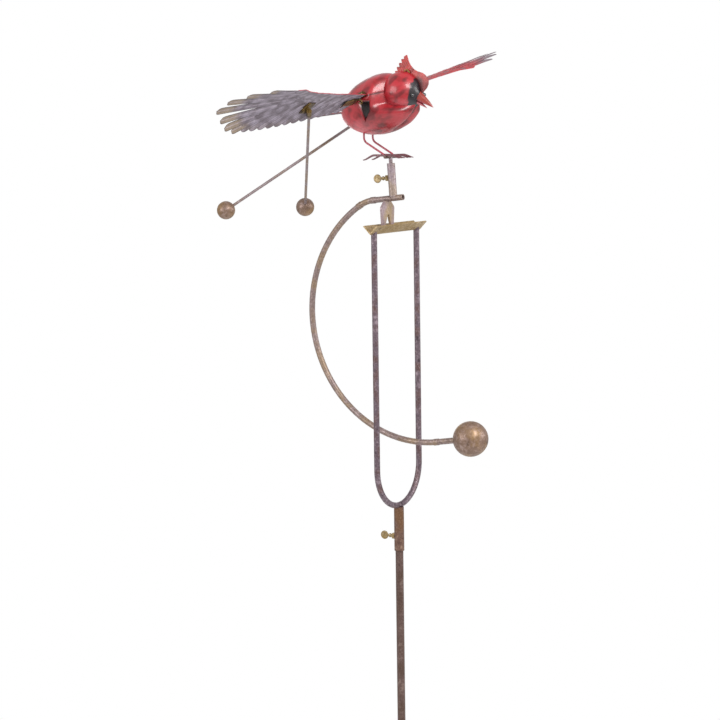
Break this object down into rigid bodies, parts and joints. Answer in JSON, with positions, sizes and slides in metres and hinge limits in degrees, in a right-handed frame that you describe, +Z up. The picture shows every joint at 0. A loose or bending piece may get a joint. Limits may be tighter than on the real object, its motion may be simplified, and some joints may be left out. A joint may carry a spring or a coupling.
{
  "type": "whirligig",
  "caption": "Crested bird balancer on a garden stake: the bird rocks on a C-shaped counterweight arm in a V trough, and its wings flap against rod weights.",
  "frame": {"origin": "on the stake's axis at ground level, at the root of the ground spike", "axes": "+Z up along the stake; the bird faces -Y; the bird's right wing lies towards -X and the trough runs along X"},
  "size_m": [0.8027, 0.4347, 1.732],
  "materials": {
    "stake_bronze": "satin",
    "sleeve_patina": "satin",
    "frame_hammertone": "satin",
    "golden_bronze": "satin",
    "arm_bronze": "satin",
    "stem_bronze": "satin",
    "leg_red": "satin",
    "bird_red": "satin",
    "beak_brown": "satin",
    "eye_black": "gloss",
    "hinge_brass": "satin",
    "wing_paint": "satin",
    "rod_bronze": "satin"
  },
  "bodies": {
    "stake": {"ground_spike": "stake_bronze", "step_plate": "stake_bronze", "lower_stake": "stake_bronze", "stake_coupler": "stake_bronze", "upper_stake": "stake_bronze"},
    "frame": {"frame_sleeve": "sleeve_patina", "sleeve_nut": "golden_bronze", "u_frame": "frame_hammertone", "trough": "golden_bronze"},
    "frame_screw": {"sleeve_thumbscrew": "golden_bronze"},
    "rocker": {"pivot_plate": "golden_bronze", "rocker_arm": "arm_bronze", "counter_ball": "arm_bronze", "bird_post": "arm_bronze", "post_nut": "golden_bronze"},
    "post_screw": {"post_thumbscrew": "golden_bronze"},
    "bird": {"bird_stem": "stem_bronze", "perch_bar": "stem_bronze", "right_foot": "stem_bronze", "left_foot": "stem_bronze", "right_leg": "leg_red", "left_leg": "leg_red", "body_right_shell": "bird_red", "body_left_shell": "bird_red", "head_right_shell": "bird_red", "head_left_shell": "bird_red", "upper_beak": "beak_brown", "lower_beak": "beak_brown", "crest": "bird_red", "right_eye": "eye_black", "left_eye": "eye_black", "tail": "bird_red", "right_hinge_bracket": "hinge_brass", "left_hinge_bracket": "hinge_brass", "right_hinge_pin": "hinge_brass", "left_hinge_pin": "hinge_brass"},
    "right_wing_set": {"right_wing": "wing_paint", "right_wing_knuckle": "hinge_brass", "right_rod_bracket": "hinge_brass", "right_wing_rivets": "hinge_brass", "right_wing_rod": "rod_bronze", "right_wing_ball": "rod_bronze"},
    "left_wing_set": {"left_wing": "wing_paint", "left_wing_knuckle": "hinge_brass", "left_rod_bracket": "hinge_brass", "left_wing_rivets": "hinge_brass", "left_wing_rod": "rod_bronze", "left_wing_ball": "rod_bronze"}
  },
  "joints": [
    {"name": "frame_turn", "type": "hinge", "parent": "stake", "child": "frame", "pos_m": [0, 0, 0.73], "axis": [0, 0, 1], "continuous": true},
    {"name": "frame_screw_turn", "type": "hinge", "parent": "frame", "child": "frame_screw", "pos_m": [0, 0.02, 0.717], "axis": [0, 1, 0], "range_deg": [-90, 720]},
    {"name": "rocker_tilt", "type": "hinge", "parent": "frame", "child": "rocker", "pos_m": [-0.0238, 0, 1.2112], "axis": [1, 0, 0], "range_deg": [-28, 28]},
    {"name": "post_screw_turn", "type": "hinge", "parent": "rocker", "child": "post_screw", "pos_m": [-0.0238, -0.00946, 1.29454], "axis": [0, 0.9977, -0.068], "range_deg": [-90, 720]},
    {"name": "bird_turn", "type": "hinge", "parent": "rocker", "child": "bird", "pos_m": [-0.0238, -0.0113, 1.2676], "axis": [0, 0.068, 0.9977], "continuous": true},
    {"name": "right_flap", "type": "hinge", "parent": "bird", "child": "right_wing_set", "pos_m": [-0.0728, 0.0238, 1.4216], "axis": [0, 0.9135, -0.4067], "range_deg": [-20, 20]},
    {"name": "left_flap", "type": "hinge", "parent": "bird", "child": "left_wing_set", "pos_m": [0.0252, 0.0238, 1.4216], "axis": [0, -0.9135, 0.4067], "range_deg": [-20, 20]}
  ]
}
